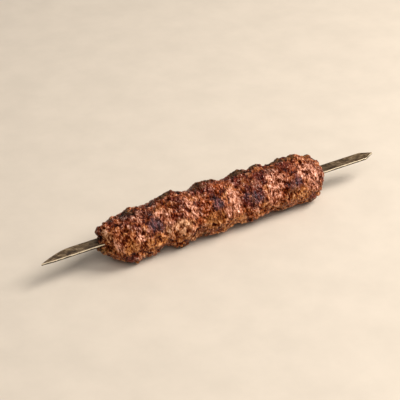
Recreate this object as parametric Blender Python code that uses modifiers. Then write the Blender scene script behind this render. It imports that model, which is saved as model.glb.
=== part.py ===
"""Kofta on a flat steel skewer: minced meat pressed round a blade that is pointed at both ends.

The skewer runs along X, the object lies on the underside of the meat at Z = 0, and the origin is
below the middle of the skewer. Angles round the meat start at the top and grow towards the front, -Y.
"""

import math

import bmesh
import bpy
import numpy as np
from mathutils.kdtree import KDTree

MM = 0.001

# Skewer
SKEWER_LENGTH = 280 * MM
BLADE_WIDTH = 9.5 * MM
BLADE_THICKNESS = 1.5 * MM
BLADE_CHAMFER = 0.25 * MM
CHAMFER_FROM_ANGLE = math.radians(60)
WELD_DISTANCE = 0.01 * MM
BLADE_Y = 1.0 * MM
BLADE_HEIGHT = 17.4 * MM
LEFT_POINT_LENGTH = 27 * MM
LEFT_POINT_STEPS = 8
LEFT_POINT_OFF_EDGE = 0.8 * MM
LEFT_EDGE_RISE_LENGTH = 9 * MM
RIGHT_POINT_LENGTH = 9.5 * MM

# Meat, as a round bar with blunt ends; its middle lies in front of the blade and a little lower
MEAT_Y = -0.1 * MM
MEAT_HEIGHT = 16.9 * MM
MEAT_LEFT = -94 * MM
MEAT_RIGHT = 88 * MM
MEAT_RADIUS_ACROSS = 18.3 * MM
MEAT_RADIUS_UP = 17.0 * MM
LEFT_ROUNDING = 21 * MM
LEFT_BLUNTNESS = 2.5
RIGHT_ROUNDING = 19 * MM
RIGHT_BLUNTNESS = 2.4
END_CURVE_STEPS = 200
SLOT_GAP = 0.3 * MM
RINGS = 98
SIDES = 50

# The left end sags forward and down, and narrows to a collar round the blade
SAG_MIDDLE = -74 * MM
SAG_LENGTH = 6 * MM
SAG_FORWARD = 1.2 * MM
SAG_DOWN = 1.6 * MM
SAG_NARROWING = 2.0 * MM
COLLAR_LEFT = -97 * MM
COLLAR_RADIUS = 3.0 * MM
COLLAR_BLEND = 0.36

# Finger grooves: place along the meat halfway between top and front, slant, depth and half-width
FRONT_ANGLE = math.radians(55)
GROOVES = (
    (-52 * MM, 3 * MM, 2.0 * MM, 6.5 * MM),
    (-21.5 * MM, -1.5 * MM, 1.9 * MM, 5.5 * MM),
    (11 * MM, 1 * MM, 2.1 * MM, 5.5 * MM),
    (42 * MM, -5 * MM, 2.1 * MM, 6.0 * MM),
    (77 * MM, 0 * MM, 1.6 * MM, 3.5 * MM),
)
GROOVE_BACK_SHARE = 0.5

# Bulges between the grooves: middle, height and half-length
BULGES = (
    (-33 * MM, 1.2 * MM, 9 * MM),
    (-6 * MM, 1.2 * MM, 10 * MM),
    (26 * MM, 1.0 * MM, 12 * MM),
    (60 * MM, 0.4 * MM, 11 * MM),
)

# Burnt lips and peaks that stand out: place along the meat, angle, height and half-width
LOWER_EDGE = math.radians(138)
UPPER_EDGE = math.radians(-35)
KNOBS = (
    (-74 * MM, LOWER_EDGE, 2.4 * MM, 6.0 * MM),
    (-58 * MM, LOWER_EDGE, 1.5 * MM, 6.0 * MM),
    (-38 * MM, LOWER_EDGE, 2.0 * MM, 5.0 * MM),
    (14 * MM, LOWER_EDGE, 0.8 * MM, 5.0 * MM),
    (76 * MM, LOWER_EDGE, 2.4 * MM, 4.0 * MM),
    (-90 * MM, math.radians(-25), 3.4 * MM, 6.0 * MM),
    (-67 * MM, UPPER_EDGE, 0.9 * MM, 5.0 * MM),
    (-29 * MM, UPPER_EDGE, 1.2 * MM, 5.0 * MM),
    (-12 * MM, UPPER_EDGE, 1.4 * MM, 5.0 * MM),
    (-2 * MM, UPPER_EDGE, 1.2 * MM, 5.0 * MM),
    (25 * MM, UPPER_EDGE, 1.4 * MM, 4.0 * MM),
    (40 * MM, UPPER_EDGE, 1.8 * MM, 3.5 * MM),
    (62 * MM, UPPER_EDGE, 1.6 * MM, 4.0 * MM),
    (71 * MM, UPPER_EDGE, 1.0 * MM, 3.5 * MM),
    (84 * MM, math.radians(-20), 1.2 * MM, 5.0 * MM),
)

# Dents where the ends draw in and under the right lobe: place along the meat, angle, depth and half-width
DENTS = (
    (-93 * MM, math.radians(85), 4.5 * MM, 5.0 * MM),
    (-90 * MM, math.radians(105), 3.0 * MM, 5.0 * MM),
    (-90 * MM, math.radians(150), 3.5 * MM, 6.0 * MM),
    (60 * MM, LOWER_EDGE, 1.2 * MM, 8.0 * MM),
    (86 * MM, math.radians(112), 2.4 * MM, 5.0 * MM),
)

# Mince: sizes, heights and seeds of the lumps that show from a step away
LUMP_SIZE, LUMP_HEIGHT, LUMP_SEED = 10 * MM, 1.5 * MM, 11
CRAG_SIZE, CRAG_HEIGHT, CRAG_SEED = 5.6 * MM, 2.0 * MM, 23
RELIEF_SINK = 1.5 * MM
CREASE_WIDTH_SHARE = 0.5
LOWEST_LUMP = 0.35

FINISHES = {
    "kofta": ((0.23, 0.085, 0.035), 0.5, 0.0),
    "skewer": ((0.30, 0.28, 0.25), 0.38, 1.0),
}


def clear_scene():
    for obj in list(bpy.data.objects):
        bpy.data.objects.remove(obj)


def new_collection(name):
    collection = bpy.data.collections.new(name)
    bpy.context.scene.collection.children.link(collection)
    return collection


def material(name):
    colour, roughness, metallic = FINISHES[name]
    made = bpy.data.materials.new(name)
    made.use_nodes = True
    shader = made.node_tree.nodes["Principled BSDF"]
    shader.inputs["Base Color"].default_value = (*colour, 1)
    shader.inputs["Roughness"].default_value = roughness
    shader.inputs["Metallic"].default_value = metallic
    return made


# Skewer


def blade_outline():
    """Corners of the blade seen from above, anticlockwise from the left tip."""
    half = BLADE_WIDTH / 2
    left, right = -SKEWER_LENGTH / 2, SKEWER_LENGTH / 2
    tip_y = -half + LEFT_POINT_OFF_EDGE
    corners = [
        (left, tip_y),
        (left + LEFT_EDGE_RISE_LENGTH, -half),
        (right - RIGHT_POINT_LENGTH, -half),
        (right, 0),
        (right - RIGHT_POINT_LENGTH, half),
    ]
    for step in range(LEFT_POINT_STEPS, 0, -1):
        share = step / LEFT_POINT_STEPS
        belly = math.sin(share * math.pi / 2)
        corners.append((left + share * LEFT_POINT_LENGTH, tip_y + belly * (half - tip_y)))
    return corners


def make_skewer(collection):
    """A flat outline with a thickness, made a mesh so that its edges can be chamfered."""
    curve = bpy.data.curves.new("skewer outline", "CURVE")
    curve.dimensions = "2D"
    curve.fill_mode = "BOTH"
    curve.extrude = BLADE_THICKNESS / 2
    spline = curve.splines.new("POLY")
    corners = blade_outline()
    spline.points.add(len(corners) - 1)
    for point, (x, y) in zip(spline.points, corners):
        point.co = (x, y, 0, 1)
    spline.use_cyclic_u = True
    guide = bpy.data.objects.new("skewer guide", curve)
    guide.location = (0, BLADE_Y, BLADE_HEIGHT)
    collection.objects.link(guide)
    bpy.context.view_layer.update()

    graph = bpy.context.evaluated_depsgraph_get()
    mesh = bpy.data.meshes.new_from_object(guide.evaluated_get(graph))
    welded = bmesh.new()
    welded.from_mesh(mesh)
    bmesh.ops.remove_doubles(welded, verts=welded.verts, dist=WELD_DISTANCE)
    welded.to_mesh(mesh)
    welded.free()
    skewer = bpy.data.objects.new("skewer", mesh)
    skewer.matrix_world = guide.matrix_world
    collection.objects.link(skewer)
    bpy.data.objects.remove(guide)

    chamfer = skewer.modifiers.new("Chamfer", "BEVEL")
    chamfer.width = BLADE_CHAMFER
    chamfer.segments = 1
    chamfer.limit_method = "ANGLE"
    chamfer.angle_limit = CHAMFER_FROM_ANGLE
    skewer.data.materials.append(material("skewer"))


# Meat


def rounded_end(length, bluntness):
    """Steps from the tip of a rounded end inwards: distance from the tip and share of the full radius."""
    turn = np.linspace(0, math.pi / 2, END_CURVE_STEPS)
    return length * (1 - np.cos(turn) ** (2 / bluntness)), np.sin(turn) ** (2 / bluntness)


def meridian(count):
    """Evenly spaced points of the meat's side view, as distance along X and share of the full radius."""
    left_x, left_share = rounded_end(LEFT_ROUNDING, LEFT_BLUNTNESS)
    right_x, right_share = rounded_end(RIGHT_ROUNDING, RIGHT_BLUNTNESS)
    beyond_collar = left_share > COLLAR_BLEND
    x = np.concatenate(
        [
            [COLLAR_LEFT, COLLAR_LEFT],
            MEAT_LEFT + left_x[beyond_collar],
            MEAT_RIGHT - right_x[::-1],
        ]
    )
    share = np.concatenate(
        [
            [0, COLLAR_RADIUS / MEAT_RADIUS_UP],
            left_share[beyond_collar],
            right_share[::-1],
        ]
    )
    steps = np.hypot(np.diff(x), np.diff(share) * MEAT_RADIUS_UP)
    length = np.concatenate([[0], np.cumsum(steps)])
    even = np.linspace(0, length[-1], count)
    return np.interp(even, length, x), np.interp(even, length, share)


def groove_depth(x, angle):
    """How far the finger grooves cut in: deep at the front, shallower over the back."""
    depth = np.zeros_like(x)
    side = np.sin(angle - FRONT_ANGLE)
    strength = 1 - (1 - GROOVE_BACK_SHARE) * (0.5 - 0.5 * side)
    for front_x, slant, deep, half_width in GROOVES:
        away = (x - front_x - slant * side) / half_width
        depth += deep * strength * np.exp(-(away**2))
    return depth


def bulge_height(x):
    height = np.zeros_like(x)
    for middle, tall, half_length in BULGES:
        height += tall * np.exp(-(((x - middle) / half_length) ** 2))
    return height


def surface_point(x, share, angle):
    """A place on the meat's skin before the mince's relief, with the sag of the left end."""
    sag = 1 / (1 + np.exp((x - SAG_MIDDLE) / SAG_LENGTH))
    change = (bulge_height(x) - groove_depth(x, angle) - SAG_NARROWING * sag) * share
    y = MEAT_Y - SAG_FORWARD * sag - (share * MEAT_RADIUS_ACROSS + change) * np.sin(angle)
    z = MEAT_HEIGHT - SAG_DOWN * sag + (share * MEAT_RADIUS_UP + change) * np.cos(angle)
    return np.stack([x, y, z], -1)


def cell_centres(size, seed):
    """One random point in each cell of a grid that covers the meat."""
    low = np.array([COLLAR_LEFT, -MEAT_RADIUS_ACROSS, MEAT_HEIGHT - MEAT_RADIUS_UP]) - 2 * size
    high = np.array([MEAT_RIGHT, MEAT_RADIUS_ACROSS, MEAT_HEIGHT + MEAT_RADIUS_UP]) + 2 * size
    counts = np.ceil((high - low) / size).astype(int)
    corners = np.stack(np.meshgrid(*map(np.arange, counts), indexing="ij"), -1).reshape(-1, 3)
    random = np.random.default_rng(seed)
    return low + (corners + random.random(corners.shape)) * size, random.random(len(corners))


def lumps(points, size, seed):
    """Rounded lumps from 0 to 1, each with its own height, and creases between them."""
    centres, heights = cell_centres(size, seed)
    tree = KDTree(len(centres))
    for index, centre in enumerate(centres):
        tree.insert(centre, index)
    tree.balance()
    relief = np.empty(len(points))
    for index, point in enumerate(points):
        (_, nearest, first), (_, _, second) = tree.find_n(point, 2)
        crease = min(1.0, (second - first) / (CREASE_WIDTH_SHARE * size))
        tall = LOWEST_LUMP + (1 - LOWEST_LUMP) * heights[nearest]
        relief[index] = tall * math.sqrt(crease)
    return relief


def knob_height(points):
    """Height of the knobs, less the depth of the dents."""
    along, share = meridian(RINGS + 1)
    height = np.zeros(len(points))
    for places, sign in ((KNOBS, 1), (DENTS, -1)):
        for x, angle, tall, half_width in places:
            middle = surface_point(np.array(x), np.interp(x, along, share), angle)
            away = np.linalg.norm(points - middle, axis=1) / half_width
            height += sign * tall * np.exp(-(away**2))
    return height


def meat_bar(rings, sides):
    """A sphere's rings spread along the meat, with the finger grooves pressed in."""
    bar = bmesh.new()
    bmesh.ops.create_uvsphere(bar, u_segments=sides, v_segments=rings, radius=1)
    unit = np.array([vert.co for vert in bar.verts])
    ring = np.arccos(np.clip(-unit[:, 2], -1, 1)) / math.pi * rings
    angle = np.arctan2(unit[:, 1], unit[:, 0])
    along, share = meridian(rings + 1)
    row = np.rint(ring).astype(int)
    for vert, place in zip(bar.verts, surface_point(along[row], share[row], angle)):
        vert.co = place
    bar.normal_update()
    return bar


def press_relief(bar):
    """Moves each point by the lumps, crags, knobs and dents, and flattens what would pass the resting plane."""
    points = np.array([vert.co for vert in bar.verts])
    normals = np.array([vert.normal for vert in bar.verts])
    height = LUMP_HEIGHT * lumps(points, LUMP_SIZE, LUMP_SEED)
    height += CRAG_HEIGHT * lumps(points, CRAG_SIZE, CRAG_SEED)
    height += knob_height(points) - RELIEF_SINK
    points += normals * height[:, None]
    points[:, 2] = np.maximum(points[:, 2], 0)
    for vert, point in zip(bar.verts, points):
        vert.co = point


def make_slot_cutter(collection):
    """The blade's section grown by the gap, longer than the meat."""
    bpy.ops.mesh.primitive_cube_add(size=1, location=(0, BLADE_Y, BLADE_HEIGHT))
    cutter = bpy.context.object
    cutter.name = "skewer slot cutter"
    cutter.dimensions = (
        2 * (MEAT_RIGHT - MEAT_LEFT),
        BLADE_WIDTH + 2 * SLOT_GAP,
        BLADE_THICKNESS + 2 * SLOT_GAP,
    )
    for home in cutter.users_collection:
        home.objects.unlink(cutter)
    collection.objects.link(cutter)
    cutter.hide_render = True
    cutter.display_type = "WIRE"
    return cutter


def make_kofta(collection, cutter):
    bar = meat_bar(RINGS, SIDES)
    press_relief(bar)
    mesh = bpy.data.meshes.new("kofta")
    bar.to_mesh(mesh)
    bar.free()
    mesh.shade_smooth()
    kofta = bpy.data.objects.new("kofta", mesh)
    collection.objects.link(kofta)
    slot = kofta.modifiers.new("Skewer slot", "BOOLEAN")
    slot.operation = "DIFFERENCE"
    slot.object = cutter
    kofta.data.materials.append(material("kofta"))


def main():
    clear_scene()
    parts = new_collection("Kofta skewer")
    cutters = new_collection("Cutters")
    make_skewer(parts)
    make_kofta(parts, make_slot_cutter(cutters))


main()
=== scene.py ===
"""Looks of the kofta skewer: mince that was grilled on a flat steel blade.

The meat's form repeats the named values of the CAD source, so that this piece lies where its solid
lies. Angles round the meat start at the top and grow towards the front, -Y. Lengths are in metres.
"""

import itertools
import math

import bmesh
import bpy
import numpy as np
from mathutils import Matrix, Vector


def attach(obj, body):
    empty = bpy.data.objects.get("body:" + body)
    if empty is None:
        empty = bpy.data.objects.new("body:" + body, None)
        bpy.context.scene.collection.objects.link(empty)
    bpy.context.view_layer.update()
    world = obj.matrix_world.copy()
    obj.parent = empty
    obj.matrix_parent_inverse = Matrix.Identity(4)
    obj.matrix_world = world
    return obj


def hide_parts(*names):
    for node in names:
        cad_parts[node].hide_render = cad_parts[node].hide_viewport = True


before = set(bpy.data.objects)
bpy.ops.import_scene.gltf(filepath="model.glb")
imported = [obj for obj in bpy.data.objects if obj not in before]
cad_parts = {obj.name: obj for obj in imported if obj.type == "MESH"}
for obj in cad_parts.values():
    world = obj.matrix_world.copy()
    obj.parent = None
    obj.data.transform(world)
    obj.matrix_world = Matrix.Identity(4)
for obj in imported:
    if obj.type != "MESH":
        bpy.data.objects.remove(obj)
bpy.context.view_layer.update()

MM = 0.001

# Middle of the blade, as in the CAD source
BLADE_Y = 1.0 * MM
BLADE_HEIGHT = 17.4 * MM

# Meat, as in the CAD source
MEAT_Y = -0.1 * MM
MEAT_HEIGHT = 16.9 * MM
MEAT_LEFT = -94 * MM
MEAT_RIGHT = 88 * MM
MEAT_RADIUS_ACROSS = 18.3 * MM
MEAT_RADIUS_UP = 17.0 * MM
LEFT_ROUNDING = 21 * MM
LEFT_BLUNTNESS = 2.5
RIGHT_ROUNDING = 19 * MM
RIGHT_BLUNTNESS = 2.4
END_CURVE_STEPS = 200
SAG_MIDDLE = -74 * MM
SAG_LENGTH = 6 * MM
SAG_FORWARD = 1.2 * MM
SAG_DOWN = 1.6 * MM
SAG_NARROWING = 2.0 * MM
COLLAR_LEFT = -97 * MM
COLLAR_RADIUS = 3.0 * MM
COLLAR_BLEND = 0.36

# Finger grooves: place along the meat halfway between top and front, slant, depth and half-width
FRONT_ANGLE = math.radians(55)
GROOVES = (
    (-52 * MM, 3 * MM, 2.0 * MM, 6.5 * MM),
    (-21.5 * MM, -1.5 * MM, 1.9 * MM, 5.5 * MM),
    (11 * MM, 1 * MM, 2.1 * MM, 5.5 * MM),
    (42 * MM, -5 * MM, 2.1 * MM, 6.0 * MM),
    (77 * MM, 0 * MM, 1.6 * MM, 3.5 * MM),
)
GROOVE_BACK_SHARE = 0.5

# Bulges between the grooves: middle, height and half-length
BULGES = (
    (-33 * MM, 1.2 * MM, 9 * MM),
    (-6 * MM, 1.2 * MM, 10 * MM),
    (26 * MM, 1.0 * MM, 12 * MM),
    (60 * MM, 0.4 * MM, 11 * MM),
)

# Burnt lips and peaks that stand out: place along the meat, angle, height and half-width
LOWER_EDGE = math.radians(138)
UPPER_EDGE = math.radians(-35)
KNOBS = (
    (-74 * MM, LOWER_EDGE, 2.4 * MM, 6.0 * MM),
    (-58 * MM, LOWER_EDGE, 1.5 * MM, 6.0 * MM),
    (-38 * MM, LOWER_EDGE, 2.0 * MM, 5.0 * MM),
    (14 * MM, LOWER_EDGE, 0.8 * MM, 5.0 * MM),
    (76 * MM, LOWER_EDGE, 2.4 * MM, 4.0 * MM),
    (-90 * MM, math.radians(-25), 3.4 * MM, 6.0 * MM),
    (-67 * MM, UPPER_EDGE, 0.9 * MM, 5.0 * MM),
    (-29 * MM, UPPER_EDGE, 1.2 * MM, 5.0 * MM),
    (-12 * MM, UPPER_EDGE, 1.4 * MM, 5.0 * MM),
    (-2 * MM, UPPER_EDGE, 1.2 * MM, 5.0 * MM),
    (25 * MM, UPPER_EDGE, 1.4 * MM, 4.0 * MM),
    (40 * MM, UPPER_EDGE, 1.8 * MM, 3.5 * MM),
    (62 * MM, UPPER_EDGE, 1.6 * MM, 4.0 * MM),
    (71 * MM, UPPER_EDGE, 1.0 * MM, 3.5 * MM),
    (84 * MM, math.radians(-20), 1.2 * MM, 5.0 * MM),
)

# Dents where the ends draw in and under the right lobe: place along the meat, angle, depth and half-width
DENTS = (
    (-93 * MM, math.radians(85), 4.5 * MM, 5.0 * MM),
    (-90 * MM, math.radians(105), 3.0 * MM, 5.0 * MM),
    (-90 * MM, math.radians(150), 3.5 * MM, 6.0 * MM),
    (60 * MM, LOWER_EDGE, 1.2 * MM, 8.0 * MM),
    (86 * MM, math.radians(112), 2.4 * MM, 5.0 * MM),
)

# Mince: sizes, heights and seeds of the lumps and crags that show from a step away
LUMP_SIZE, LUMP_HEIGHT, LUMP_SEED = 10 * MM, 1.5 * MM, 11
CRAG_SIZE, CRAG_HEIGHT, CRAG_SEED = 5.6 * MM, 2.0 * MM, 23
RELIEF_SINK = 1.5 * MM
CREASE_WIDTH_SHARE = 0.5
LOWEST_LUMP = 0.35

# Finer mince, which only this piece has. Strands run round the meat, leaning along it
RINGS = 430
SIDES = 218
CHUNK_SIZE, CHUNK_LONG, CHUNK_SHORT, CHUNK_HEIGHT, CHUNK_SEED = 3.0 * MM, 3.4 * MM, 1.3 * MM, 0.55 * MM, 5
GRAIN_SIZE, GRAIN_LONG, GRAIN_SHORT, GRAIN_HEIGHT, GRAIN_SEED = 1.6 * MM, 1.8 * MM, 0.65 * MM, 0.2 * MM, 7
STRAND_LEAN = math.radians(25)
STRAND_SPREAD = math.radians(38)
FINE_SINK = 0.25 * MM
WAVE_SIZE, WAVE_REACH, WAVE_SEED = 2.6 * MM, 0.8 * MM, 17
WARP_SIZE, WARP_REACH, WARP_SEED = 5.0 * MM, 1.2 * MM, 3
PIT_SIZE, PIT_RADIUS, PIT_DEPTH, PIT_CHANCE, PIT_SEED = 6.0 * MM, 1.5 * MM, 1.3 * MM, 0.4, 31
HOLLOW_SIZE, HOLLOW_DEPTH, HOLLOW_SEED = 3.6 * MM, 1.0 * MM, 61

# Chars and coloured patches on the side that shows: place along, degrees, half-length, half-width, strength
CHARS = (
    (-59 * MM, 49, 8 * MM, 7 * MM, 1.15),
    (-53 * MM, 59, 5 * MM, 4 * MM, 0.8),
    (-30 * MM, 55, 4 * MM, 4 * MM, 0.5),
    (-9 * MM, 51, 6 * MM, 6 * MM, 1.2),
    (-4 * MM, 42, 4 * MM, 5 * MM, 0.6),
    (20 * MM, 62, 7 * MM, 6 * MM, 1.05),
    (15 * MM, 56, 5 * MM, 5 * MM, 0.9),
    (59 * MM, 60, 5 * MM, 5 * MM, 1.3),
    (54 * MM, 68, 5 * MM, 5 * MM, 1.1),
)
# Wines and oranges are partly the meat's own tints and partly painted shade on lobe slopes turned from the
# light; pinks and straws are partly painted light where the lobes catch it
WINES = (
    (-72 * MM, 50, 4 * MM, 5 * MM, 0.9),
    (-77 * MM, 36, 7 * MM, 8 * MM, 0.8),
    (-85 * MM, -10, 5 * MM, 6 * MM, 0.4),
    (-64 * MM, 70, 5 * MM, 5 * MM, 1.0),
    (-80 * MM, 124, 8 * MM, 6 * MM, 1.2),
    (-72 * MM, 56, 6 * MM, 4 * MM, 0.7),
    (-40 * MM, 32, 5 * MM, 6 * MM, 1.0),
    (-20 * MM, -2, 5 * MM, 6 * MM, 1.0),
    (-37 * MM, 0, 10 * MM, 7 * MM, 1.0),
    (-22 * MM, 30, 4 * MM, 8 * MM, 0.8),
    (-13 * MM, 2, 8 * MM, 8 * MM, 1.1),
    (14 * MM, 2, 7 * MM, 9 * MM, 1.2),
    (24 * MM, 40, 6 * MM, 6 * MM, 1.1),
    (16 * MM, 44, 5 * MM, 6 * MM, 1.0),
    (31 * MM, 18, 7 * MM, 8 * MM, 1.4),
    (14 * MM, 64, 5 * MM, 6 * MM, 1.2),
    (59 * MM, 72, 6 * MM, 7 * MM, 0.9),
    (56 * MM, 0, 9 * MM, 7 * MM, 1.0),
    (84 * MM, 68, 3 * MM, 11 * MM, 1.2),
    (71 * MM, 117, 7 * MM, 5 * MM, 1.2),
)
ORANGES = (
    (-2 * MM, 15, 7 * MM, 6 * MM, 1.2),
    (-17 * MM, 46, 5 * MM, 11 * MM, 1.1),
    (-24 * MM, 76, 4 * MM, 5 * MM, 0.9),
    (-49 * MM, 106, 6 * MM, 5 * MM, 0.9),
    (-46 * MM, 31, 5 * MM, 7 * MM, 1.6),
    (-33 * MM, 70, 5 * MM, 4 * MM, 1.3),
    (9 * MM, 99, 5 * MM, 6 * MM, 1.3),
    (64 * MM, 8, 5 * MM, 6 * MM, 0.9),
    (-84 * MM, 60, 4 * MM, 4 * MM, 0.8),
    (13 * MM, 72, 4 * MM, 9 * MM, 1.0),
    (48 * MM, 80, 6 * MM, 10 * MM, 1.3),
    (46 * MM, 104, 7 * MM, 6 * MM, 1.1),
    (15 * MM, 106, 7 * MM, 6 * MM, 1.1),
    (21 * MM, 92, 5 * MM, 5 * MM, 0.8),
    (57 * MM, 22, 9 * MM, 7 * MM, 1.2),
)
GOLDS = (
    (-52 * MM, 22, 5 * MM, 8 * MM, 0.7),
    (-44 * MM, 12, 4 * MM, 8 * MM, 0.8),
    (-38 * MM, 90, 9 * MM, 9 * MM, 1.1),
    (-33 * MM, 116, 9 * MM, 6 * MM, 1.0),
    (-58 * MM, 100, 9 * MM, 5 * MM, 1.0),
    (-79 * MM, 78, 6 * MM, 9 * MM, 1.0),
    (-92 * MM, 30, 4 * MM, 9 * MM, 1.0),
    (-61 * MM, 87, 6 * MM, 5 * MM, 1.3),
    (-9 * MM, 80, 5 * MM, 6 * MM, 0.8),
    (55 * MM, 84, 6 * MM, 5 * MM, 1.4),
    (-14 * MM, 84, 7 * MM, 6 * MM, 1.0),
    (2 * MM, 112, 12 * MM, 4 * MM, 1.0),
    (29 * MM, 92, 6 * MM, 5 * MM, 0.9),
    (46 * MM, -20, 5 * MM, 9 * MM, 0.8),
    (61 * MM, 92, 9 * MM, 6 * MM, 1.0),
)
PINKS = (
    (-87 * MM, 72, 4 * MM, 9 * MM, 0.9),
    (-71 * MM, 66, 4 * MM, 6 * MM, 1.0),
    (-68 * MM, 20, 5 * MM, 8 * MM, 0.8),
    (-52 * MM, 36, 5 * MM, 5 * MM, 1.2),
    (-48 * MM, 60, 5 * MM, 7 * MM, 0.8),
    (-41 * MM, 83, 7 * MM, 6 * MM, 1.0),
    (-34 * MM, 93, 7 * MM, 6 * MM, 0.9),
    (-34 * MM, 43, 5 * MM, 5 * MM, 0.9),
    (-28 * MM, 50, 6 * MM, 7 * MM, 0.9),
    (-30 * MM, 30, 5 * MM, 5 * MM, 1.0),
    (-2 * MM, 72, 4 * MM, 5 * MM, 0.8),
    (4 * MM, 44, 5 * MM, 9 * MM, 1.0),
    (6 * MM, 76, 5 * MM, 6 * MM, 1.0),
    (38 * MM, 56, 6 * MM, 9 * MM, 1.1),
    (43 * MM, 38, 6 * MM, 9 * MM, 1.6),
    (38 * MM, 80, 6 * MM, 9 * MM, 1.0),
    (65 * MM, 45, 5 * MM, 8 * MM, 1.0),
    (73 * MM, 64, 6 * MM, 11 * MM, 1.3),
    (73 * MM, 34, 6 * MM, 6 * MM, 1.0),
)
STRAWS = (
    (-93 * MM, 14, 4 * MM, 8 * MM, 1.1),
    (-51 * MM, 72, 4 * MM, 4 * MM, 1.1),
    (-39 * MM, 81, 6 * MM, 5 * MM, 2.0),
    (-31 * MM, 121, 6 * MM, 4 * MM, 1.2),
    (25 * MM, -3, 3 * MM, 4 * MM, 0.7),
    (53 * MM, 87, 5 * MM, 3 * MM, 1.0),
)

# Dark crust on the top edge and the lips at the foot, all round the meat. The two at the left end, round the
# blade, are partly crust and partly painted shade on the end that lies in shadow
CRUSTS_AND_SHADE = (
    (-71 * MM, -18, 9 * MM, 6 * MM, 1.10),
    (-84 * MM, -34, 6 * MM, 6 * MM, 0.80),
    (-95 * MM, 148, 6 * MM, 13 * MM, 1.40),
    (-95 * MM, 80, 3 * MM, 6 * MM, 0.90),
    (-40 * MM, -26, 11 * MM, 6 * MM, 1.05),
    (-12 * MM, -22, 8 * MM, 7 * MM, 1.05),
    (-4 * MM, -34, 8 * MM, 7 * MM, 1.5),
    (20 * MM, -28, 11 * MM, 6 * MM, 1.05),
    (36 * MM, -30, 7 * MM, 5 * MM, 0.95),
    (56 * MM, -28, 9 * MM, 7 * MM, 1.25),
    (66 * MM, -20, 6 * MM, 5 * MM, 1.10),
    (80 * MM, -14, 6 * MM, 5 * MM, 0.90),
    (-76 * MM, 148, 10 * MM, 5 * MM, 0.95),
    (-38 * MM, 142, 8 * MM, 5 * MM, 0.95),
    (-19 * MM, 124, 6 * MM, 8 * MM, 0.85),
    (-14 * MM, 144, 9 * MM, 5 * MM, 0.95),
    (15 * MM, 142, 7 * MM, 5 * MM, 0.95),
    (47 * MM, 142, 10 * MM, 5 * MM, 1.00),
    (45 * MM, 106, 7 * MM, 7 * MM, 0.80),
    (72 * MM, 134, 7 * MM, 5 * MM, 1.05),
    (-50 * MM, -150, 12 * MM, 7 * MM, 0.85),
    (6 * MM, -148, 13 * MM, 7 * MM, 0.85),
    (54 * MM, -152, 12 * MM, 7 * MM, 0.85),
)

# Chars and patches come back on the hidden side, moved on by a lobe and at these degrees less their own
HIDDEN_SIDE_SHIFT = 32 * MM
HIDDEN_SIDE_DEGREES = -35

# Low on both flanks the meat is more golden, and the collar round the blade is dark, partly burnt and partly
# painted shade
LOW_FLANK = math.radians(105)
LOW_FLANK_REACH = math.radians(24)
LOW_FLANK_GOLD = 0.25
NECK_END = -95.5 * MM
NECK_FADE = 1.2 * MM
NECK_CRUST_AND_SHADE = 0.9

# Random unevenness of the browning, as size and seed, and how far it moves the edges of marks
BROAD_SIZE, BROAD_SEED = 11 * MM, 41
PATCHY_SIZE, PATCHY_SEED = 4.5 * MM, 43
SPOTTY_SIZE, SPOTTY_SEED = 2.2 * MM, 47
MARK_EDGE_SIZE, MARK_EDGE_REACH, MARK_SEED_ALONG, MARK_SEED_ROUND = 6 * MM, 2.5 * MM, 53, 59

# Colour of the mince from pale to well done, and each patch's marks, weight and colour, painted in this order
BROWNING = (
    (0.0, (0.84, 0.42, 0.165)),
    (0.28, (0.72, 0.29, 0.110)),
    (0.52, (0.50, 0.155, 0.055)),
    (0.76, (0.25, 0.052, 0.020)),
    (1.0, (0.10, 0.018, 0.008)),
)
PATCHES = (
    ("orange", ORANGES, 0.9, (0.46, 0.100, 0.016, 1)),
    ("gold", GOLDS, 0.8, (0.80, 0.37, 0.125, 1)),
    ("wine", WINES, 0.95, (0.20, 0.022, 0.010, 1)),
    ("pink", PINKS, 0.92, (0.98, 0.50, 0.375, 1)),
    ("straw", STRAWS, 0.8, (1.0, 0.60, 0.37, 1)),
)
# Char from dark to its lighter streaks, which are painted violet glints
CHAR_DARK = (0.030, 0.010, 0.015)
CHAR_PAINTED_GLINT = (0.20, 0.080, 0.100)
# Colour of the crust, also used for the painted shade on the left end
CRUST_AND_SHADE_COLOUR = (0.100, 0.052, 0.014, 1)
# Colour of the painted highlights on the strands' tops
PAINTED_HIGHLIGHT_COLOUR = (0.95, 0.60, 0.47, 1)

# Strands of mince in the material: turn in degrees, width and length, and how far they wander
FIRST_STRANDS = ((0, 25, 20), 0.55 * MM, 2.9 * MM)
SECOND_STRANDS = ((0, -30, -35), 0.5 * MM, 2.4 * MM)
STREAKS = ((0, 12, 30), 1.2 * MM, 3.2 * MM)
WANDER_SCALE, WANDER_REACH = 260, 2.4 * MM

# Reflections: dimmed in the gaps as painted shade, warm on the strands, duller on chars and crust
SHEEN_GAP = (0.12, 0.03, 0.01, 1)
SHEEN_STRAND = (1.0, 0.75, 0.60, 1)
SHEEN_CHAR = (0.60, 0.38, 0.44, 1)
SHEEN_CRUST = (0.40, 0.28, 0.12, 1)

# Steel from grimy to clean, its soot next to the meat, and its edges from painted shade below to a painted
# highlight above
STEEL = (
    (0.16, (0.024, 0.012, 0.005)),
    (0.25, (0.135, 0.083, 0.042)),
    (0.36, (0.360, 0.260, 0.155)),
)
SOOT_COLOUR = (0.030, 0.015, 0.006, 1)
SOOT_FROM, SOOT_TO = 92 * MM, 118 * MM
BLADE_EDGE_PAINTED_SHADE = (0.022, 0.012, 0.005)
BLADE_EDGE_PAINTED_HIGHLIGHT = (0.70, 0.60, 0.44)
EDGE_HIGHLIGHT_FROM, EDGE_HIGHLIGHT_TO = BLADE_HEIGHT - 0.05 * MM, BLADE_HEIGHT + 0.35 * MM
EDGE_HIGHLIGHT_UNEVEN = 0.4 * MM


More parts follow.
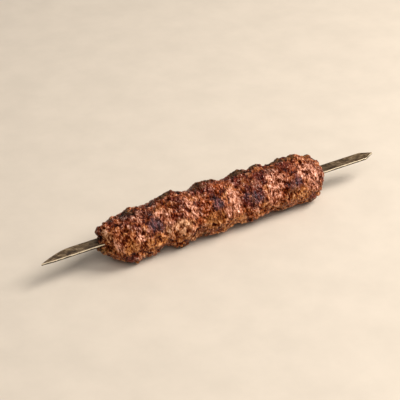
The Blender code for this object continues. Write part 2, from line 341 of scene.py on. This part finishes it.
def clear_default_scene():
    """Takes out what a new Blender file starts with."""
    for name in ("Cube", "Light", "Camera"):
        if name in bpy.data.objects:
            bpy.data.objects.remove(bpy.data.objects[name])


# Form of the meat


def rounded_end(length, bluntness):
    """Steps from the tip of a rounded end inwards: distance from the tip and share of the full radius."""
    turn = np.linspace(0, math.pi / 2, END_CURVE_STEPS)
    return length * (1 - np.cos(turn) ** (2 / bluntness)), np.sin(turn) ** (2 / bluntness)


def meridian(count):
    """Evenly spaced points of the meat's side view, as distance along X and share of the full radius."""
    left_x, left_share = rounded_end(LEFT_ROUNDING, LEFT_BLUNTNESS)
    right_x, right_share = rounded_end(RIGHT_ROUNDING, RIGHT_BLUNTNESS)
    beyond_collar = left_share > COLLAR_BLEND
    x = np.concatenate(
        [
            [COLLAR_LEFT, COLLAR_LEFT],
            MEAT_LEFT + left_x[beyond_collar],
            MEAT_RIGHT - right_x[::-1],
        ]
    )
    share = np.concatenate(
        [
            [0, COLLAR_RADIUS / MEAT_RADIUS_UP],
            left_share[beyond_collar],
            right_share[::-1],
        ]
    )
    steps = np.hypot(np.diff(x), np.diff(share) * MEAT_RADIUS_UP)
    length = np.concatenate([[0], np.cumsum(steps)])
    even = np.linspace(0, length[-1], count)
    return np.interp(even, length, x), np.interp(even, length, share)


def groove_depth(x, angle):
    """How far the finger grooves cut in: deep at the front, shallower over the back."""
    depth = np.zeros_like(x)
    side = np.sin(angle - FRONT_ANGLE)
    strength = 1 - (1 - GROOVE_BACK_SHARE) * (0.5 - 0.5 * side)
    for front_x, slant, deep, half_width in GROOVES:
        away = (x - front_x - slant * side) / half_width
        depth += deep * strength * np.exp(-(away**2))
    return depth


def bulge_height(x):
    """How far the lobes stand out between the grooves."""
    height = np.zeros_like(x)
    for middle, tall, half_length in BULGES:
        height += tall * np.exp(-(((x - middle) / half_length) ** 2))
    return height


def surface_point(x, share, angle):
    """A place on the meat's skin before the mince's relief, with the sag of the left end."""
    sag = 1 / (1 + np.exp((x - SAG_MIDDLE) / SAG_LENGTH))
    change = (bulge_height(x) - groove_depth(x, angle) - SAG_NARROWING * sag) * share
    y = MEAT_Y - SAG_FORWARD * sag - (share * MEAT_RADIUS_ACROSS + change) * np.sin(angle)
    z = MEAT_HEIGHT - SAG_DOWN * sag + (share * MEAT_RADIUS_UP + change) * np.cos(angle)
    return np.stack([x, y, z], -1)


# Relief of the mince, from one random point in each cell of a grid. The reaches are in cells

CORNER_REACH = 1.8
OVAL_REACH = 2.3


class Cells:
    """A grid of cells round the meat, each with a random centre, value from 0 to 1 and direction."""

    def __init__(self, size, seed):
        low = np.array([COLLAR_LEFT, -MEAT_RADIUS_ACROSS, MEAT_HEIGHT - MEAT_RADIUS_UP]) - 2 * size
        high = np.array([MEAT_RIGHT, MEAT_RADIUS_ACROSS, MEAT_HEIGHT + MEAT_RADIUS_UP]) + 2 * size
        self.size = size
        self.low = low
        self.counts = np.ceil((high - low) / size).astype(int)
        corners = np.stack(np.meshgrid(*map(np.arange, self.counts), indexing="ij"), -1).reshape(-1, 3)
        random = np.random.default_rng(seed)
        self.centres = low + (corners + random.random(corners.shape)) * size
        self.values = random.random(len(corners))
        lean = STRAND_LEAN + STRAND_SPREAD * random.standard_normal(len(corners))
        outwards = self.centres[:, 1:] - (MEAT_Y, MEAT_HEIGHT)
        outwards /= np.linalg.norm(outwards, axis=1)[:, None]
        across = np.cos(lean)
        self.directions = np.stack([np.sin(lean), -across * outwards[:, 1], across * outwards[:, 0]], -1)

    def near(self, points, reach):
        """The number of each cell no further away than the reach in cells, one array for each."""
        home = np.floor((points - self.low) / self.size).astype(int)
        for offset in itertools.product(range(-2, 3), repeat=3):
            if math.hypot(*offset) > reach:
                continue
            cell = np.clip(home + offset, 0, self.counts - 1)
            yield (cell[:, 0] * self.counts[1] + cell[:, 1]) * self.counts[2] + cell[:, 2]


def two_nearest(points, cells):
    """Distances to the nearest and second nearest centre, and the nearest one's value."""
    first = np.full(len(points), np.inf)
    second = np.full(len(points), np.inf)
    value = np.zeros(len(points))
    for number in cells.near(points, CORNER_REACH):
        away = np.linalg.norm(points - cells.centres[number], axis=1)
        closer = away < first
        second = np.where(closer, first, np.minimum(second, away))
        value = np.where(closer, cells.values[number], value)
        first = np.minimum(first, away)
    return first, second, value


def lumps(points, size, seed):
    """Rounded lumps from 0 to 1, each with its own height, and creases between them."""
    first, second, value = two_nearest(points, Cells(size, seed))
    crease = np.minimum(1, (second - first) / (CREASE_WIDTH_SHARE * size))
    return (LOWEST_LUMP + (1 - LOWEST_LUMP) * value) * np.sqrt(crease)


def ovals(points, size, long, short, seed):
    """Height from 0 to 1 of overlapping ovals, long and short being their half-length and half-width."""
    cells = Cells(size, seed)
    top = np.zeros(len(points))
    for number in cells.near(points, OVAL_REACH):
        reach = points - cells.centres[number]
        along = (reach * cells.directions[number]).sum(1)
        away = ((reach**2).sum(1) - along**2) / short**2 + along**2 / long**2
        height = (0.6 + 0.4 * cells.values[number]) * np.sqrt(np.clip(1 - away, 0, 1))
        top = np.maximum(top, height)
    return top


def pits(points):
    """Depth from 0 to 1 of a few scattered holes."""
    cells = Cells(PIT_SIZE, PIT_SEED)
    depth = np.zeros(len(points))
    for number in cells.near(points, CORNER_REACH):
        radius = PIT_RADIUS * (0.5 + cells.values[number] / PIT_CHANCE / 2)
        away = np.linalg.norm(points - cells.centres[number], axis=1) / radius
        hole = np.where(cells.values[number] < PIT_CHANCE, np.clip(1.4 - away, 0, 1), 0)
        depth = np.maximum(depth, hole)
    return depth * depth * (3 - 2 * depth)


def smooth_noise(points, size, seed, channels=1):
    """Smooth random values from -1 to 1 that change over about the size."""
    random = np.random.default_rng(seed)
    lattice = random.random((64, 64, 64, channels)) * 2 - 1
    place = points / size + 1000
    corner = np.floor(place).astype(int)
    part = place - corner
    part = part * part * (3 - 2 * part)
    total = np.zeros((len(points), channels))
    for offset in itertools.product((0, 1), repeat=3):
        weight = np.prod(np.where(offset, part, 1 - part), axis=1)
        index = (corner + offset) % 64
        total += weight[:, None] * lattice[index[:, 0], index[:, 1], index[:, 2]]
    return total if channels > 1 else total[:, 0]


def knob_height(points):
    """Height of the knobs, less the depth of the dents."""
    along, share = meridian(RINGS + 1)
    height = np.zeros(len(points))
    for places, sign in ((KNOBS, 1), (DENTS, -1)):
        for x, angle, tall, half_width in places:
            middle = surface_point(np.array(x), np.interp(x, along, share), angle)
            away = np.linalg.norm(points - middle, axis=1) / half_width
            height += sign * tall * np.exp(-(away**2))
    return height


def all_round(places):
    """The marks, and the same ones turned to the hidden side and moved on by a lobe."""
    turned = []
    for x, degrees, half_length, half_width, strong in places:
        moved = x + HIDDEN_SIDE_SHIFT
        if moved > MEAT_RIGHT:
            moved += MEAT_LEFT - MEAT_RIGHT
        turned.append((moved, HIDDEN_SIDE_DEGREES - degrees, half_length, half_width, strong))
    return (*places, *turned)


def marks(x, angle, places):
    """Strength of oval marks, round the meat as well as along it."""
    strength = np.zeros(len(x))
    for middle, degrees, half_length, half_width, strong in places:
        turn = np.angle(np.exp(1j * (angle - math.radians(degrees))))
        away = ((x - middle) / half_length) ** 2 + (turn * MEAT_RADIUS_UP / half_width) ** 2
        strength = np.maximum(strength, strong * np.exp(-away))
    return strength


# Meshes


def mesh_points(mesh):
    points = np.empty(len(mesh.vertices) * 3)
    mesh.vertices.foreach_get("co", points)
    return points.reshape(-1, 3)


def mesh_normals(mesh):
    normals = np.empty(len(mesh.vertices) * 3)
    mesh.vertex_normals.foreach_get("vector", normals)
    return normals.reshape(-1, 3)


def set_points(mesh, points):
    mesh.vertices.foreach_set("co", points.ravel())
    mesh.update()


def store(mesh, name, values):
    layer = mesh.attributes.new(name, "FLOAT", "POINT")
    layer.data.foreach_set("value", np.asarray(values, dtype=np.float32))


def new_object(name, mesh):
    made = bpy.data.objects.new(name, mesh)
    bpy.context.scene.collection.objects.link(made)
    return made


def soft_step(value, low, high):
    share = np.clip((value - low) / (high - low), 0, 1)
    return share * share * (3 - 2 * share)


def store_browning(mesh, points, x, angle, raised):
    """How brown, charred, crusted and tinted each place is, with uneven edges. What is raised burns more."""
    broad = smooth_noise(points, BROAD_SIZE, BROAD_SEED)
    patchy = smooth_noise(points, PATCHY_SIZE, PATCHY_SEED)
    spotty = smooth_noise(points, SPOTTY_SIZE, SPOTTY_SEED)
    shift_along = MARK_EDGE_REACH * smooth_noise(points, MARK_EDGE_SIZE, MARK_SEED_ALONG)
    shift_round = MARK_EDGE_REACH * smooth_noise(points, MARK_EDGE_SIZE, MARK_SEED_ROUND)
    mark_x = x + shift_along
    mark_angle = angle + shift_round / MEAT_RADIUS_UP
    burnt_edges = 0.14 * patchy + 0.16 * spotty
    char = marks(mark_x, mark_angle, all_round(CHARS)) + burnt_edges + 0.2 * (raised - 0.5)
    # The crust mask also carries painted shade on the left end's collar and marks
    crust_and_shade = marks(mark_x, mark_angle, CRUSTS_AND_SHADE) + burnt_edges + 0.6 * (raised - 0.5)
    neck = 1 / (1 + np.exp((x - NECK_END) / NECK_FADE))
    store(mesh, "char", soft_step(char, 0.3, 1.0))
    store(mesh, "crust_and_shade", np.maximum(soft_step(crust_and_shade, 0.35, 0.95), NECK_CRUST_AND_SHADE * neck))
    low_flank = np.exp(-(((np.abs(mark_angle) - LOW_FLANK) / LOW_FLANK_REACH) ** 2))
    for name, places, _, _ in PATCHES:
        strength = marks(mark_x, mark_angle, all_round(places)) + 0.16 * patchy + 0.1 * spotty
        if name == "gold":
            strength += LOW_FLANK_GOLD * low_flank
        store(mesh, name, soft_step(strength, 0.2, 1.0))
    over = np.cos(angle + math.radians(25))
    brown = 0.52 + 0.16 * over + 0.26 * broad + 0.34 * patchy + 0.2 * spotty
    store(mesh, "brown", np.clip(brown, 0, 1))


def make_meat():
    """The meat's skin: the CAD form with its crags, then chunks, grains and pits of mince on it."""
    ball = bmesh.new()
    bmesh.ops.create_uvsphere(ball, u_segments=SIDES, v_segments=RINGS, radius=1)
    mesh = bpy.data.meshes.new("meat")
    ball.to_mesh(mesh)
    ball.free()
    unit = mesh_points(mesh)
    row = np.rint(np.arccos(np.clip(-unit[:, 2], -1, 1)) / math.pi * RINGS).astype(int)
    angle = np.arctan2(unit[:, 1], unit[:, 0])
    along, share = meridian(RINGS + 1)
    x = along[row]
    points = surface_point(x, share[row], angle)
    set_points(mesh, points)

    wavy = points + WAVE_REACH * smooth_noise(points, WAVE_SIZE, WAVE_SEED, 3)
    lump = lumps(wavy, LUMP_SIZE, LUMP_SEED)
    crag = lumps(wavy, CRAG_SIZE, CRAG_SEED)
    height = LUMP_HEIGHT * lump + CRAG_HEIGHT * crag + knob_height(points) - RELIEF_SINK
    points = points + mesh_normals(mesh) * height[:, None]
    set_points(mesh, points)

    warped = points + WARP_REACH * smooth_noise(points, WARP_SIZE, WARP_SEED, 3)
    chunk = ovals(warped, CHUNK_SIZE, CHUNK_LONG, CHUNK_SHORT, CHUNK_SEED)
    grain = ovals(warped, GRAIN_SIZE, GRAIN_LONG, GRAIN_SHORT, GRAIN_SEED)
    pit = pits(warped)
    hollow = soft_step(smooth_noise(warped, HOLLOW_SIZE, HOLLOW_SEED), 0.05, 0.6)
    fine = CHUNK_HEIGHT * chunk + GRAIN_HEIGHT * grain - FINE_SINK - PIT_DEPTH * pit - HOLLOW_DEPTH * hollow
    points = points + mesh_normals(mesh) * fine[:, None]
    points[:, 2] = np.maximum(points[:, 2], 0)
    set_points(mesh, points)

    # Relief for the material, which paints shade from it in crag creases, low places, pits and hollows
    store(mesh, "crag", soft_step(crag / (LOWEST_LUMP + 0.25), 0, 1))
    store(mesh, "level", 0.6 * chunk + 0.4 * grain)
    store(mesh, "pit", np.maximum(pit, hollow))
    store_browning(mesh, points, x, angle, 0.5 * crag + 0.3 * chunk + 0.2 * grain)
    mesh.shade_smooth()
    mesh.materials.append(meat_material())

    meat = new_object("meat", mesh)
    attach(meat, "root")
    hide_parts("kofta")


# Materials


class Nodes:
    """Short ways to add and join shader nodes."""

    def __init__(self, name):
        self.material = bpy.data.materials.new(name)
        self.material.use_nodes = True
        self.tree = self.material.node_tree
        self.shader = self.tree.nodes["Principled BSDF"]

    def add(self, kind, **settings):
        node = self.tree.nodes.new(kind)
        for key, value in settings.items():
            setattr(node, key, value)
        return node

    def join(self, start, end):
        self.tree.links.new(start, end)

    def attribute(self, name):
        return self.add("ShaderNodeAttribute", attribute_name=name).outputs["Fac"]

    def place(self):
        return self.add("ShaderNodeTexCoord").outputs["Object"]

    def feed(self, socket, value):
        if isinstance(value, bpy.types.NodeSocket):
            self.join(value, socket)
        else:
            socket.default_value = value

    def maths(self, operation, *values):
        node = self.add("ShaderNodeMath", operation=operation)
        for socket, value in zip(node.inputs, values):
            self.feed(socket, value)
        return node.outputs[0]

    def scale(self, value, low, high, to_low, to_high):
        node = self.add("ShaderNodeMapRange", clamp=True)
        for socket, given in zip(node.inputs, (value, low, high, to_low, to_high)):
            self.feed(socket, given)
        return node.outputs[0]

    def mix(self, share, first, second, blend="MIX"):
        node = self.add("ShaderNodeMix", data_type="RGBA", blend_type=blend)
        self.feed(node.inputs["Factor"], share)
        self.feed(node.inputs[6], first)
        self.feed(node.inputs[7], second)
        return node.outputs[2]

    def ramp(self, value, *stops):
        node = self.add("ShaderNodeValToRGB")
        elements = node.color_ramp.elements
        while len(elements) < len(stops):
            elements.new(0.5)
        for element, (position, colour) in zip(elements, stops):
            element.position = position
            element.color = (*colour, 1)
        self.feed(node.inputs[0], value)
        return node.outputs[0]

    def noise(self, scale, detail=4, roughness=0.55, distortion=0, place=None):
        node = self.add("ShaderNodeTexNoise")
        self.join(place or self.place(), node.inputs["Vector"])
        node.inputs["Scale"].default_value = scale
        node.inputs["Detail"].default_value = detail
        node.inputs["Roughness"].default_value = roughness
        node.inputs["Distortion"].default_value = distortion
        return node.outputs["Fac"]

    def slanted(self, turn, width, long):
        """Places in slanting, wavy sheets as thick as the width and as long as the length."""
        wander = self.add("ShaderNodeTexNoise")
        self.join(self.place(), wander.inputs["Vector"])
        wander.inputs["Scale"].default_value = WANDER_SCALE
        shift = self.add("ShaderNodeVectorMath", operation="MULTIPLY_ADD")
        self.join(wander.outputs["Color"], shift.inputs[0])
        shift.inputs[1].default_value = (WANDER_REACH, WANDER_REACH, WANDER_REACH)
        self.join(self.place(), shift.inputs[2])
        turned = self.add("ShaderNodeMapping")
        self.join(shift.outputs[0], turned.inputs["Vector"])
        turned.inputs["Rotation"].default_value = [math.radians(degrees) for degrees in turn]
        squeeze = self.add("ShaderNodeVectorMath", operation="MULTIPLY")
        self.join(turned.outputs[0], squeeze.inputs[0])
        squeeze.inputs[1].default_value = (1 / width, 1 / long, 1 / long)
        return squeeze.outputs[0]

    def strands(self, turn, width, long):
        """Long strands in slanting sheets: height of each one from 0 to 1, and its own random value."""
        node = self.add("ShaderNodeTexVoronoi", feature="F1")
        self.join(self.slanted(turn, width, long), node.inputs["Vector"])
        node.inputs["Scale"].default_value = 1
        own = self.add("ShaderNodeSeparateColor")
        self.join(node.outputs["Color"], own.inputs[0])
        away = self.maths("MULTIPLY", node.outputs["Distance"], 1.35)
        dome = self.maths("MULTIPLY_ADD", away, self.maths("MULTIPLY", away, -1.0), 1.0)
        height = self.maths("MULTIPLY", dome, self.scale(own.outputs["Red"], 0, 1, 0.5, 1))
        return self.maths("MAXIMUM", height, 0.0), own.outputs["Red"]

    def bump(self, height, strength, distance, under=None):
        node = self.add("ShaderNodeBump")
        node.inputs["Strength"].default_value = strength
        node.inputs["Distance"].default_value = distance
        self.join(height, node.inputs["Height"])
        if under is not None:
            self.join(under, node.inputs["Normal"])
        return node.outputs["Normal"]


def meat_material():
    """Grilled mince: patches by how far each place browned, fine strands in them, painted shade where they
    part and in creases, pits and hollows, and painted cream highlights on the strands' tops.
    """
    n = Nodes("grilled mince")
    mottle = n.noise(420, 4, 0.6, 0.5)
    first, first_own = n.strands(*FIRST_STRANDS)
    second, second_own = n.strands(*SECOND_STRANDS)
    strand = n.maths("MAXIMUM", first, second)
    own = n.mix(n.maths("GREATER_THAN", first, second), second_own, first_own)
    streaks = n.noise(1, 4, 0.65, 0, n.slanted(*STREAKS))
    brown = n.maths("ADD", n.attribute("brown"), n.scale(mottle, 0.3, 0.7, -0.08, 0.08))
    colour = n.ramp(brown, *BROWNING)
    for name, _, weight, tint in PATCHES:
        colour = n.mix(n.maths("MULTIPLY", n.attribute(name), weight), colour, tint)
    # Char: dark, with painted violet glints in its lighter streaks
    charred = n.ramp(streaks, (0.44, CHAR_DARK), (0.62, CHAR_PAINTED_GLINT))
    # Char and crust; the crust mask also paints shade on the left end
    for name, tint in (("char", charred), ("crust_and_shade", CRUST_AND_SHADE_COLOUR)):
        broken = n.maths("MULTIPLY", n.attribute(name), n.scale(own, 0.3, 0.95, 1.0, 0.6))
        colour = n.mix(broken, colour, tint)
    open_flesh = n.maths("SUBTRACT", 1.0, n.maths("MAXIMUM", n.attribute("char"), n.attribute("crust_and_shade")))
    strong = n.scale(n.noise(130, 3, 0.6), 0.38, 0.62, 0.5, 1.0)
    strong = n.maths("MULTIPLY", strong, n.scale(n.attribute("gold"), 0, 1, 1.1, 0.6))
    # Lightness: partly the mince's own uneven tone, partly painted light. Painted shade darkens the gaps
    # between strands, low places and crag creases; painted highlight lightens the strand tops.
    light = n.maths("ADD", n.scale(strand, 0, 1, -0.44, 0.34), n.scale(own, 0, 1, -0.1, 0.1))
    light = n.maths("MULTIPLY_ADD", light, strong, 0.48)
    light = n.maths("ADD", light, n.scale(streaks, 0.35, 0.65, -0.36, 0.32))
    light = n.maths("ADD", light, n.scale(n.attribute("level"), 0.1, 0.7, -0.1, 0.08))
    light = n.maths("ADD", light, n.scale(n.attribute("crag"), 0.0, 0.5, -0.12, 0.02))
    # Painted shade in pits and hollows; pinks and straws a little lighter as painted light, chars a little
    # darker.
    for name, change in (("pit", -0.30), ("pink", 0.03), ("straw", 0.04), ("char", -0.09)):
        light = n.maths("MULTIPLY_ADD", n.attribute(name), change, light)
    shade = n.ramp(
        light,
        (0.0, (0.055, 0.009, 0.002)),
        (0.2, (0.22, 0.085, 0.034)),
        (0.45, (0.61, 0.49, 0.37)),
        (0.75, (1.1, 1.1, 1.1)),
    )
    colour = n.mix(1.0, colour, shade, "MULTIPLY")
    # Painted highlights: cream on the lightest strands, away from chars and crust
    painted_highlight = n.maths("MULTIPLY", n.scale(light, 0.66, 0.9, 0, 0.6), open_flesh)
    colour = n.mix(painted_highlight, colour, PAINTED_HIGHLIGHT_COLOUR)
    n.join(colour, n.shader.inputs["Base Color"])
    # Reflections dimmed in the gaps as painted shade
    sheen = n.mix(n.scale(light, 0.3, 0.75, 0, 1), SHEEN_GAP, SHEEN_STRAND)
    sheen = n.mix(n.attribute("char"), sheen, SHEEN_CHAR)
    sheen = n.mix(n.maths("MULTIPLY", n.attribute("crust_and_shade"), 0.85), sheen, SHEEN_CRUST)
    n.join(sheen, n.shader.inputs["Specular Tint"])
    wet = n.scale(n.noise(400, 3, 0.6), 0.38, 0.62, 0.14, 0.34)
    n.join(n.maths("ADD", wet, n.maths("MULTIPLY", n.attribute("crust_and_shade"), 0.2)), n.shader.inputs["Roughness"])
    n.shader.inputs["Specular IOR Level"].default_value = 0.75
    domed = n.bump(strand, 1.0, 0.5 * MM)
    fine = n.bump(n.noise(1600, 3, 0.6), 0.12, 0.1 * MM, domed)
    n.join(fine, n.shader.inputs["Normal"])
    return n.material


def steel_material():
    """Flat steel darkened by smoke and fat, streaked along its length, with painted shade low on its edges
    and a painted highlight on their upper part.
    """
    n = Nodes("smoked steel")
    stretch = n.add("ShaderNodeMapping")
    n.join(n.place(), stretch.inputs["Vector"])
    stretch.inputs["Scale"].default_value = (0.12, 1, 1)
    streaks = n.add("ShaderNodeTexNoise")
    n.join(stretch.outputs[0], streaks.inputs["Vector"])
    streaks.inputs["Scale"].default_value = 1500
    streaks.inputs["Detail"].default_value = 5
    blotches = n.noise(260, 5, 0.65, 0.5)
    grime = n.maths("MULTIPLY", streaks.outputs["Fac"], blotches)
    colour = n.ramp(grime, *STEEL)
    upright = n.add("ShaderNodeSeparateXYZ")
    n.join(n.add("ShaderNodeNewGeometry").outputs["Normal"], upright.inputs[0])
    flat = n.maths("ABSOLUTE", upright.outputs["Z"])
    edge = n.scale(flat, 0.9, 0.6, 0, 1)
    place = n.add("ShaderNodeSeparateXYZ")
    n.join(n.place(), place.inputs[0])
    soot = n.scale(n.maths("ABSOLUTE", place.outputs["X"]), SOOT_FROM, SOOT_TO, 0.6, 0)
    soot = n.maths("MULTIPLY", soot, n.scale(blotches, 0.35, 0.6, 0.5, 1))
    colour = n.mix(soot, colour, SOOT_COLOUR)
    # Painted light on the edges: shade below the blade's middle height, a highlight above it
    level = n.maths("ADD", place.outputs["Z"], n.scale(blotches, 0.3, 0.7, -EDGE_HIGHLIGHT_UNEVEN, EDGE_HIGHLIGHT_UNEVEN))
    edge_shade_and_highlight = n.ramp(n.scale(level, EDGE_HIGHLIGHT_FROM, EDGE_HIGHLIGHT_TO, 0, 1), (0.0, BLADE_EDGE_PAINTED_SHADE), (1.0, BLADE_EDGE_PAINTED_HIGHLIGHT))
    colour = n.mix(edge, colour, edge_shade_and_highlight)
    n.join(colour, n.shader.inputs["Base Color"])
    n.shader.inputs["Metallic"].default_value = 0.5
    n.shader.inputs["Specular IOR Level"].default_value = 0.25
    n.join(n.scale(blotches, 0.3, 0.7, 0.3, 0.55), n.shader.inputs["Roughness"])
    n.join(n.bump(streaks.outputs["Fac"], 0.25, 0.1 * MM), n.shader.inputs["Normal"])
    return n.material


def floor_material():
    """Plain, pale and matt, with a faint mottle."""
    n = Nodes("pale floor")
    colour = n.ramp(n.noise(30, 4, 0.6), (0.35, FLOOR_DARK), (0.65, FLOOR_LIGHT))
    n.join(colour, n.shader.inputs["Base Color"])
    n.shader.inputs["Roughness"].default_value = 0.6
    return n.material


# Stage

FLOOR_SIZE = 8.0
FLOOR_DARK = (0.60, 0.525, 0.44)
FLOOR_LIGHT = (0.64, 0.56, 0.47)
CAMERA_AZIMUTH = math.radians(-32.947)
CAMERA_ELEVATION = math.radians(30)
CAMERA_DISTANCE = 1.0
CAMERA_LENS = 128.08
CAMERA_SENSOR = 36
AIM_RIGHT = -11.5 * MM
AIM_UP = 2.87 * MM

# Lights: azimuth and elevation in degrees, distance, size, power and colour
LIGHTS = {
    "key": (70, 44, 1.5, 0.9, 32, (1.0, 0.96, 0.9)),
    "fill": (-14, 54, 1.6, 1.2, 11.5, (1.0, 0.97, 0.94)),
    "front": (-35, 16, 1.5, 0.9, 3, (1.0, 0.95, 0.88)),
    "back": (165, 40, 1.6, 1.2, 2.5, (1.0, 0.96, 0.9)),
}
ROOM_LIGHT = (1.0, 0.95, 0.88, 1)
ROOM_STRENGTH = 0.13


def direction(azimuth, elevation):
    """Unit vector towards a place seen from the object, azimuth 0 being the front, -Y."""
    flat = math.cos(elevation)
    return Vector((math.sin(azimuth) * flat, -math.cos(azimuth) * flat, math.sin(elevation)))


def turned_to(back, right):
    """A rotation whose own -Z looks against back."""
    return Matrix((right, back.cross(right), back)).transposed().to_quaternion()


def make_camera():
    back = direction(CAMERA_AZIMUTH, CAMERA_ELEVATION)
    right = Vector((math.cos(CAMERA_AZIMUTH), math.sin(CAMERA_AZIMUTH), 0))
    data = bpy.data.cameras.new("camera")
    data.lens = CAMERA_LENS
    data.sensor_width = CAMERA_SENSOR
    camera = new_object("camera", data)
    aim = Vector((0, BLADE_Y, BLADE_HEIGHT)) + AIM_RIGHT * right + AIM_UP * back.cross(right)
    camera.location = aim + CAMERA_DISTANCE * back
    camera.rotation_mode = "QUATERNION"
    camera.rotation_quaternion = turned_to(back, right)
    bpy.context.scene.camera = camera


def make_light(name, azimuth, elevation, distance, size, power, colour):
    """A square soft light that faces the object."""
    back = direction(math.radians(azimuth), math.radians(elevation))
    data = bpy.data.lights.new(name, "AREA")
    data.size = size
    data.energy = power
    data.color = colour
    light = new_object(name, data)
    light.location = back * distance
    light.rotation_mode = "QUATERNION"
    light.rotation_quaternion = turned_to(back, back.orthogonal().normalized())


def make_stage():
    bpy.ops.mesh.primitive_plane_add(size=FLOOR_SIZE, location=(0, 0, 0))
    floor = bpy.context.object
    floor.name = "floor"
    floor.data.materials.append(floor_material())
    world = bpy.data.worlds.new("studio")
    world.use_nodes = True
    background = world.node_tree.nodes["Background"]
    background.inputs["Color"].default_value = ROOM_LIGHT
    background.inputs["Strength"].default_value = ROOM_STRENGTH
    bpy.context.scene.world = world
    for name, settings in LIGHTS.items():
        make_light(name, *settings)


def main():
    clear_default_scene()
    bpy.context.scene.view_settings.view_transform = "Standard"
    make_meat()
    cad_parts["skewer"].data.materials[0] = steel_material()
    make_stage()
    make_camera()


main()
